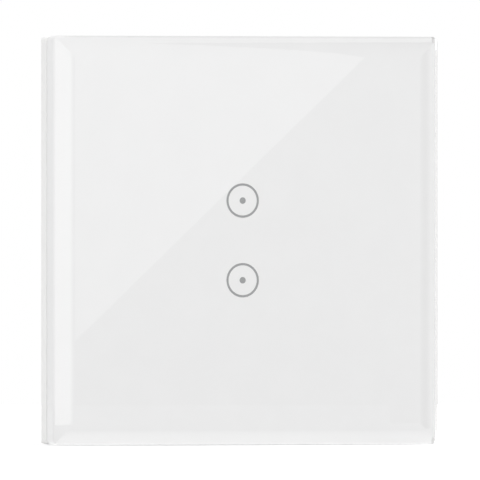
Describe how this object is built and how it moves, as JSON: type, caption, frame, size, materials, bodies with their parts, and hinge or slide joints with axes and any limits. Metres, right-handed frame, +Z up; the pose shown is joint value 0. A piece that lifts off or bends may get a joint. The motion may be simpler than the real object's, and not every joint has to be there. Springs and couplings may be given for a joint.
{
  "type": "touch light switch",
  "caption": "Square wall switch with a glass front, round touch marks one above the other, a pull-off panel, spreader claws and screw terminals.",
  "frame": {"origin": "middle of the two box-screw slots, on the rear face of the mounting strap, which is the wall's plane", "axes": "+X to the right seen from the room, +Y into the wall, +Z up; the glass faces -Y"},
  "size_m": [0.082, 0.0342, 0.082],
  "materials": {
    "clear_glass": "polished",
    "white_enamel": "glossy behind glass",
    "grey_ink": "satin",
    "foam_tape": "matt",
    "white_abs": "satin moulded",
    "spring_steel": "bright",
    "galvanised_steel": "galvanised",
    "cover_plastic": "fine moulded grain",
    "zinc_steel": "zinc plated",
    "circuit_board": "solder mask",
    "plated_wire": "nickel plated",
    "clear_plastic": "clear",
    "lamp_plastic": "glossy",
    "black_epoxy": "fine matt",
    "tinned_metal": "tinned",
    "chip_ceramic": "matt",
    "black_plastic": "satin",
    "gilt_brass": "bright",
    "housing_plastic": "fine moulded grain",
    "brass": "stamped",
    "relay_plastic": "glossy",
    "magnet_iron": "plated",
    "bobbin_plastic": "satin",
    "copper_wire": "enamelled",
    "capacitor_yellow": "glossy",
    "ferrite": "matt",
    "winding_tape": "glossy",
    "capacitor_sleeve": "glossy",
    "varistor_coat": "glossy",
    "resistor_coat": "satin",
    "steel_clamp": "zinc plated",
    "claw_steel": "zinc plated"
  },
  "bodies": {
    "insert": {"mounting_strap": "galvanised_steel", "front_cover": "cover_plastic", "cover_screws": "zinc_steel", "touch_board": "circuit_board", "touch_spring_upper": "plated_wire", "touch_spring_lower": "plated_wire", "light_guides": "clear_plastic", "indicator_leds": "lamp_plastic", "touch_controller": "black_epoxy", "controller_legs": "tinned_metal", "touch_board_passives": "chip_ceramic", "header_spacer": "black_plastic", "header_pins": "gilt_brass", "rear_housing": "housing_plastic", "power_board": "circuit_board", "board_screws": "zinc_steel", "busbars": "brass", "relay_coil_pins": "tinned_metal", "film_capacitor": "capacitor_yellow", "transformer_core": "ferrite", "transformer_winding": "winding_tape", "smoothing_capacitor": "capacitor_sleeve", "varistor": "varistor_coat", "fuse_resistor": "resistor_coat", "component_leads": "tinned_metal", "rear_chips": "black_epoxy", "relay_case_left": "relay_plastic", "relay_base_left": "black_plastic", "relay_yoke_left": "magnet_iron", "relay_bobbin_left": "bobbin_plastic", "relay_coil_left": "copper_wire", "relay_contact_left": "brass", "relay_case_right": "relay_plastic", "relay_base_right": "black_plastic", "relay_yoke_right": "magnet_iron", "relay_bobbin_right": "bobbin_plastic", "relay_coil_right": "copper_wire", "relay_contact_right": "brass"},
    "panel": {"glass_panel": "clear_glass", "white_backprint": "white_enamel", "touch_symbols": "grey_ink", "adhesive_tape": "foam_tape", "panel_frame": "white_abs", "retaining_springs": "spring_steel"},
    "terminal_screw_1": {"terminal_screw_1": "zinc_steel"},
    "clamp_cage_1": {"clamp_cage_1": "steel_clamp"},
    "terminal_screw_2": {"terminal_screw_2": "zinc_steel"},
    "clamp_cage_2": {"clamp_cage_2": "steel_clamp"},
    "terminal_screw_3": {"terminal_screw_3": "zinc_steel"},
    "clamp_cage_3": {"clamp_cage_3": "steel_clamp"},
    "terminal_screw_4": {"terminal_screw_4": "zinc_steel"},
    "clamp_cage_4": {"clamp_cage_4": "steel_clamp"},
    "claw_screw_left": {"claw_screw_left": "zinc_steel"},
    "claw_left": {"claw_left": "claw_steel"},
    "claw_screw_right": {"claw_screw_right": "zinc_steel"},
    "claw_right": {"claw_right": "claw_steel"},
    "armature_left": {"relay_armature_left": "magnet_iron", "relay_blade_left": "brass"},
    "armature_right": {"relay_armature_right": "magnet_iron", "relay_blade_right": "brass"}
  },
  "joints": [
    {"name": "panel_pull_off", "type": "slide", "parent": "insert", "child": "panel", "axis": [0, -1, 0], "range_m": [0, 0.012], "deforming": ["retaining_springs"]},
    {"name": "terminal_screw_1_turn", "type": "hinge", "parent": "insert", "child": "terminal_screw_1", "pos_m": [-0.012, 0.018, -0.0173], "axis": [0, -1, 0], "range_deg": [0, 2400]},
    {"name": "clamp_cage_1_rise", "type": "slide", "parent": "insert", "child": "clamp_cage_1", "axis": [0, 1, 0], "range_m": [0, 0.004]},
    {"name": "terminal_screw_2_turn", "type": "hinge", "parent": "insert", "child": "terminal_screw_2", "pos_m": [-0.004, 0.018, -0.0173], "axis": [0, -1, 0], "range_deg": [0, 2400]},
    {"name": "clamp_cage_2_rise", "type": "slide", "parent": "insert", "child": "clamp_cage_2", "axis": [0, 1, 0], "range_m": [0, 0.004]},
    {"name": "terminal_screw_3_turn", "type": "hinge", "parent": "insert", "child": "terminal_screw_3", "pos_m": [0.004, 0.018, -0.0173], "axis": [0, -1, 0], "range_deg": [0, 2400]},
    {"name": "clamp_cage_3_rise", "type": "slide", "parent": "insert", "child": "clamp_cage_3", "axis": [0, 1, 0], "range_m": [0, 0.004]},
    {"name": "terminal_screw_4_turn", "type": "hinge", "parent": "insert", "child": "terminal_screw_4", "pos_m": [0.012, 0.018, -0.0173], "axis": [0, -1, 0], "range_deg": [0, 2400]},
    {"name": "clamp_cage_4_rise", "type": "slide", "parent": "insert", "child": "clamp_cage_4", "axis": [0, 1, 0], "range_m": [0, 0.004]},
    {"name": "claw_screw_left_turn", "type": "hinge", "parent": "insert", "child": "claw_screw_left", "pos_m": [-0.0246, -0.001, 0], "axis": [0, 1, 0], "range_deg": [0, 612]},
    {"name": "claw_left_spread", "type": "hinge", "parent": "insert", "child": "claw_left", "pos_m": [-0.0221, 0.0146, 0], "axis": [0, 0, 1], "range_deg": [0, 20]},
    {"name": "claw_screw_right_turn", "type": "hinge", "parent": "insert", "child": "claw_screw_right", "pos_m": [0.0246, -0.001, 0], "axis": [0, 1, 0], "range_deg": [0, 612]},
    {"name": "claw_right_spread", "type": "hinge", "parent": "insert", "child": "claw_right", "pos_m": [0.0221, 0.0146, 0], "axis": [0, 0, -1], "range_deg": [0, 20]},
    {"name": "relay_left_pull_in", "type": "hinge", "parent": "insert", "child": "armature_left", "pos_m": [-0.0054, 0.0044, 0.0178], "axis": [-1, 0, 0], "range_deg": [0, 3.5], "stiffness_Nm_per_rad": 0.01, "springref_deg": -2.86},
    {"name": "relay_right_pull_in", "type": "hinge", "parent": "insert", "child": "armature_right", "pos_m": [0.0054, 0.0044, 0.0178], "axis": [-1, 0, 0], "range_deg": [0, 3.5], "stiffness_Nm_per_rad": 0.01, "springref_deg": -2.86}
  ],
  "couplings": [
    {"joint": "terminal_screw_1_turn", "follows": "clamp_cage_1_rise", "rad_per_m": 10472},
    {"joint": "terminal_screw_2_turn", "follows": "clamp_cage_2_rise", "rad_per_m": 10472},
    {"joint": "terminal_screw_3_turn", "follows": "clamp_cage_3_rise", "rad_per_m": 10472},
    {"joint": "terminal_screw_4_turn", "follows": "clamp_cage_4_rise", "rad_per_m": 10472},
    {"joint": "claw_left_spread", "follows": "claw_screw_left_turn", "ratio": 0.03267},
    {"joint": "claw_right_spread", "follows": "claw_screw_right_turn", "ratio": 0.03267}
  ]
}
